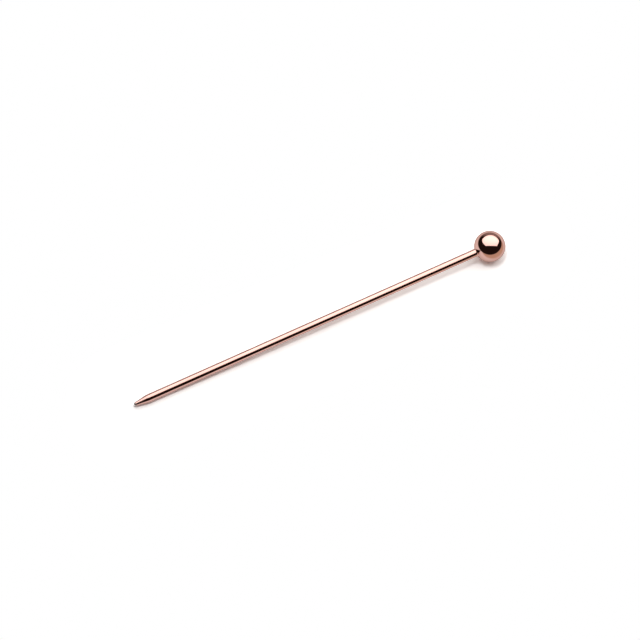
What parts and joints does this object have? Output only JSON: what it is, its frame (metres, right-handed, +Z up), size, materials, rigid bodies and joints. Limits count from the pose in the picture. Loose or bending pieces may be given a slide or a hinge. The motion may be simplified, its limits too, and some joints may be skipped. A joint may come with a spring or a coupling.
{
  "type": "cocktail pick",
  "caption": "Slim polished metal cocktail pick with a round ball end and a short ground point, lying on its side.",
  "frame": {"origin": "on the surface that the pick lies on, under the middle of its length and width", "axes": "+X along the pick from its point to its ball, +Z up from the surface"},
  "size_m": [0.1034, 0.008, 0.008],
  "materials": {
    "plated_wire": "polished",
    "plated_ball": "polished",
    "plated_filler": "polished"
  },
  "bodies": {
    "root": {"shank": "plated_wire", "ball": "plated_ball", "braze_ring": "plated_filler"}
  },
  "joints": []
}
